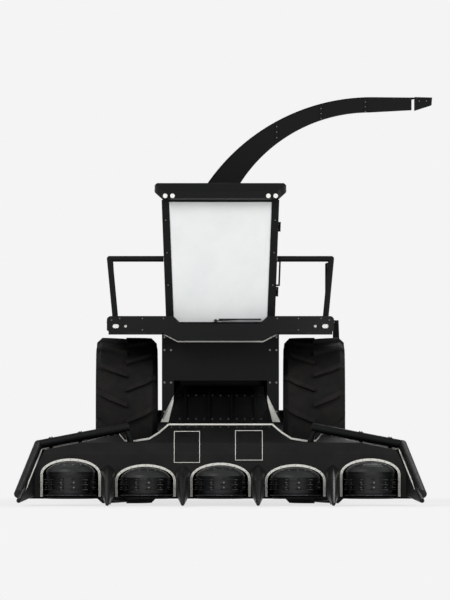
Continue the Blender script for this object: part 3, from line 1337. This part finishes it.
class MESH_OT_harvester_chassis(bpy.types.Operator):
    """Add hydraulic pipes with their clips, axle and frame bolts, and the tow pin's head"""
    bl_idname = "mesh.harvester_chassis"
    bl_label = "Chassis"

    def execute(self, context):
        zinc, cast, chrome = map(named, ("zinc_plated_fastener", "painted_casting", "hard_chrome"))
        made, clips = bmesh.new(), bmesh.new()
        for x, z, *stops in ((395, 1300, 330, 700, 1090), (411, 1320, 330, 700, 1090), (-395, 1310, 330, 1090),
                             (-411, 1310, 330, 1090)):
            tube(made, [at(x, y, z) for y in stops], 0.0065, 8)
        for right, left in ((-429, -389), (381, 429)):
            for y in (420, 760, 1050):
                block(clips, at(right, y - 12, 1286), at(left, y + 12, 1334), 0.003)
        finished("frame_pipes", made, "chassis", chrome, turned=True)
        finished("pipe_clips", clips, "chassis", named("black_rubber_seal"), turned=True)
        # front axle: bolt rings of the final drives and the cover in the middle
        made, cover = bmesh.new(), bmesh.new()
        for s in (-1, 1):
            for a, b in around(16):
                hex_bolt(made, at(s * 905, 0, 1025) + Vector((0, a, b)) * 0.23, (0, a, b), 0.02, 0.012)
        for a, b in around(12):
            hex_bolt(made, at(0, -113, 1025) + Vector((a, 0, b)) * 0.085, (0, -1, 0), 0.018, 0.012)
        dome = [(0.0, 0.01), (0.07, 0.008), (0.1, 0.0), (0.1, -0.03)]
        lathe(cover, dome, at(0, -106, 1025), (0, -1, 0), 40)
        finished("axle_bolts", made, "chassis", zinc)
        finished("axle_cover", cover, "chassis", cast, turned=True)
        # head of the tow pin with its handle
        made = bmesh.new()
        lathe(made, [(0.0, 0.99), (0.026, 0.988), (0.03, 0.98), (0.03, 0.976), (0.0, 0.976)], at(0, 4390, 0),
              (0, 0, 1), 28)
        tube(made, [at(x, 4390, z) for x, z in ((-28, 985), (-28, 1012), (28, 1012), (28, 985))], 0.005, 8)
        finished("tow_pin_head", made, "chassis", zinc, turned=True)
        # frame bolts along the rails, at the front axle's seat and on the rear cross members
        made, rail_x = bmesh.new(), 380
        for s in (-1, 1):
            for y in (560, 900, 2350, 3900):
                for z in (1240, 1380):
                    hex_bolt(made, at(s * rail_x, y, z), (s, 0, 0), 0.022, 0.012)
            for y in (-95, 95):
                for z in (1110, 1160):
                    hex_bolt(made, at(s * rail_x, y, z), (s, 0, 0), 0.024, 0.014)
            for y in (2500, 3300):
                hex_bolt(made, at(s * 500, y, 1490), (0, 0, 1), 0.022, 0.014)
        finished("frame_bolts", made, "chassis", zinc)
        return {"FINISHED"}


class MESH_OT_harvester_engine(bpy.types.Operator):
    """Add rocker covers, ribs, manifolds, pulleys and belt to the engine block, and hoses to the cooler"""
    bl_idname = "mesh.harvester_engine"
    bl_label = "Engine"

    def execute(self, context):
        cast, zinc, seal = map(named, ("engine_casting", "zinc_plated_fastener", "black_rubber_seal"))
        made, bolts = bmesh.new(), bmesh.new()
        for y in range(2450, 3251, 160):
            block(made, at(-170, y, 2248), at(170, y + 140, 2325), 0.018, 3)
            for x in (-120, 120):
                hex_bolt(bolts, at(x, y + 70, 2324), (0, 0, 1), 0.018, 0.012)
        for s in (-1, 1):
            low, high = sorted((s * 459, s * 468))
            for y in range(2460, 3341, 80):
                block(made, at(low, y, 1520), at(high, y + 14, 1780), 0.002)
            low, high = sorted((s * 459, s * 472))
            block(made, at(low, 2900, 1600), at(high, 3100, 1740), 0.005)
        finished("engine_covers", made, "chassis", cast, turned=True)
        # manifolds along both banks, and the pipe that runs forward to the silencer
        made = bmesh.new()
        for s in (-1, 1):
            tube(made, [at(s * 300, y, 2215) for y in (2460, 2700, 3000, 3300)], 0.032, 16)
            for y in range(2520, 3181, 165):
                tube(made, [at(s * x, y, z) for x, z in ((300, 2215), (240, 2270), (165, 2285))], 0.018, 12)
        tube(made, [at(*spot) for spot in ((-300, 2470, 2215), (-360, 2300, 2300), (-415, 2120, 2430),
                                           (-430, 1900, 2545), (-430, 1790, 2590))], 0.042, 18)
        finished("engine_manifolds", made, "chassis", named("heat_toned_pipe"), turned=True)
        # three pulleys on the back of the block, and the belt's straight runs along their outer sides
        made, belt, belt_y = bmesh.new(), bmesh.new(), 3437
        wheels = [((0, 1750), 0.11), ((-260, 2020), 0.07), ((250, 1980), 0.08)]
        for (x, z), r in wheels:
            groove = [(0.0, 0.03), (0.03, 0.03), (0.032, 0.018), (r - 0.02, 0.014), (r, 0.02),
                      (r - 0.012, 0.005), (r, -0.01), (0.0, -0.01)]
            lathe(made, groove, at(x, 3432, z), (0, 1, 0), 40)
        for (a, ra), (b, rb) in zip(wheels, wheels[1:] + wheels[:1]):
            start, end = at(a[0], belt_y, a[1]), at(b[0], belt_y, b[1])
            way = (end - start).normalized()
            side = Vector((way.z, 0, -way.x))
            if side.dot(at(0, belt_y, 1900) - start) > 0:
                side = -side
            tube(belt, [start + side * (ra - 0.006), end + side * (rb - 0.006)], 0.006, 8)
        finished("engine_pulleys", made, "chassis", zinc, turned=True)
        finished("engine_belt", belt, "chassis", seal, turned=True)
        finished("engine_bolts", bolts, "chassis", zinc)
        made = bmesh.new()
        for s in (-1, 1):
            path = ((470, 4012, 2200), (470, 3900, 2230), (420, 3700, 2230), (300, 3520, 2200),
                    (300, 3425, 2190))
            tube(made, [at(s * x, y, z) for x, y, z in path], 0.026, 16)
        finished("cooler_hoses", made, "chassis", seal, turned=True)
        return {"FINISHED"}


def seen_rays(tree):
    """The Light Path node, and a node that is 1 for the rays that look at the background."""
    rays = add(tree, "ShaderNodeLightPath")
    return rays, add(tree, "ShaderNodeMath", {0: (rays, "Is Camera Ray"), 1: (rays, "Is Transmission Ray")},
                     operation="MAXIMUM")


class SCENE_OT_harvester_stage(bpy.types.Operator):
    """Set the floor, backdrop, light and camera"""
    bl_idname = "scene.harvester_stage"
    bl_label = "Stage"

    def execute(self, context):
        stage, scene = context.scene.harvester_stage, context.scene
        # pale floor: near the machine it takes its shadow, further off it fades into the white backdrop
        material, tree, shader = fresh("pale_floor")
        even(shader, Base_Color=srgb("#f4f4f2"), Roughness=0.9, Specular_IOR_Level=0.1)
        coords = add(tree, "ShaderNodeTexCoord")
        reach = add(tree, "ShaderNodeVectorMath", {0: (coords, "Object")}, operation="LENGTH")
        fade = add(tree, "ShaderNodeMapRange", {"Value": (reach, "Value")}, interpolation_type="SMOOTHSTEP",
                   **{"From Min": 3.0, "From Max": 8.0, "To Min": 0.78, "To Max": 1.0})
        rays, seen = seen_rays(tree)
        shown = add(tree, "ShaderNodeMath", {0: (seen, "Value"), 1: (rays, "Is Glossy Ray")},
                    operation="MAXIMUM")
        share = add(tree, "ShaderNodeMath", {0: (shown, "Value"), 1: (fade, "Result")}, operation="MULTIPLY")
        glow = add(tree, "ShaderNodeEmission", Color=srgb("#f4f4f4"), Strength=1.0)
        mix = add(tree, "ShaderNodeMixShader",
                  {0: (share, "Value"), 1: (shader, "BSDF"), 2: (glow, "Emission")})
        tree.links.new(mix.outputs["Shader"], tree.nodes["Material Output"].inputs["Surface"])
        made = bmesh.new()
        bmesh.ops.create_grid(made, x_segments=1, y_segments=1, size=120.0)
        floor = placed("floor", made)
        floor.data.materials.append(material)

        # white world for what the camera sees, a dimmer one for what lights the machine
        world = bpy.data.worlds.new("studio")
        world.use_nodes = True
        scene.world = world
        tree = world.node_tree
        tree.nodes.clear()
        seen = seen_rays(tree)[1]
        soft = add(tree, "ShaderNodeBackground", Color=srgb("#eceeee"), Strength=0.6)
        plain = add(tree, "ShaderNodeBackground", Color=srgb("#f4f4f4"), Strength=1.0)
        mix = add(tree, "ShaderNodeMixShader",
                  {0: (seen, "Value"), 1: (soft, "Background"), 2: (plain, "Background")})
        add(tree, "ShaderNodeOutputWorld", {"Surface": (mix, "Shader")})

        for name, spot, target, size, power in (
                ("key", (-9, -14, 12), (0, 0, 2), 7.0, 1300.0),
                ("fill", (11, -12, 7), (0, 0, 2), 8.0, 600.0),
                ("rim", (3, 14, 11), (0, 1, 2), 7.0, 800.0)):
            lamp = bpy.data.lights.new(name, "AREA")
            lamp.shape, lamp.size, lamp.energy = "SQUARE", size, power
            holder = bpy.data.objects.new(name, lamp)
            holder.location = spot
            holder.rotation_euler = (Vector(target) - Vector(spot)).to_track_quat("-Z", "Y").to_euler()
            scene.collection.objects.link(holder)

        lens = bpy.data.cameras.new("camera")
        lens.sensor_fit, lens.sensor_height = "VERTICAL", 36.0
        lens.lens = 36.0 * stage.distance / stage.view_height
        lens.clip_end = 900.0
        camera = bpy.data.objects.new("camera", lens)
        camera.location = (CENTRE_X + 0.056, -stage.distance, stage.eye)
        camera.rotation_euler = Euler((math.radians(90), 0, 0))
        scene.collection.objects.link(camera)
        scene.camera = camera
        scene.view_settings.view_transform = "Standard"
        return {"FINISHED"}


class VIEW3D_PT_harvester(bpy.types.Panel):
    """Lists the harvester's pieces"""
    bl_label = "Harvester"
    bl_idname = "VIEW3D_PT_harvester"
    bl_space_type = "VIEW_3D"
    bl_region_type = "UI"
    bl_category = "Harvester"

    def draw(self, context):
        for step in STEPS:
            self.layout.operator(step.bl_idname)
        for group in (context.scene.harvester_looks, context.scene.harvester_stage):
            for name in group.__annotations__:
                self.layout.prop(group, name)


STEPS = [
    SCENE_OT_harvester_stage, MATERIAL_OT_harvester_finishes, MESH_OT_harvester_seat,
    MESH_OT_harvester_wheels, MESH_OT_harvester_header, MESH_OT_harvester_front, MESH_OT_harvester_cab,
    MESH_OT_harvester_hood, MESH_OT_harvester_deck, MESH_OT_harvester_spout, MESH_OT_harvester_chassis,
    MESH_OT_harvester_engine]
CLASSES = [HarvesterLooks, HarvesterStage] + STEPS + [VIEW3D_PT_harvester]


def register():
    for made in CLASSES:
        bpy.utils.register_class(made)
    bpy.types.Scene.harvester_looks = bpy.props.PointerProperty(type=HarvesterLooks)
    bpy.types.Scene.harvester_stage = bpy.props.PointerProperty(type=HarvesterStage)


def unregister():
    del bpy.types.Scene.harvester_stage
    del bpy.types.Scene.harvester_looks
    for made in reversed(CLASSES):
        bpy.utils.unregister_class(made)


def main():
    register()
    for step in STEPS:
        group, name = step.bl_idname.split(".")
        getattr(getattr(bpy.ops, group), name)()
    bpy.context.view_layer.update()


if __name__ == "__main__":
    main()
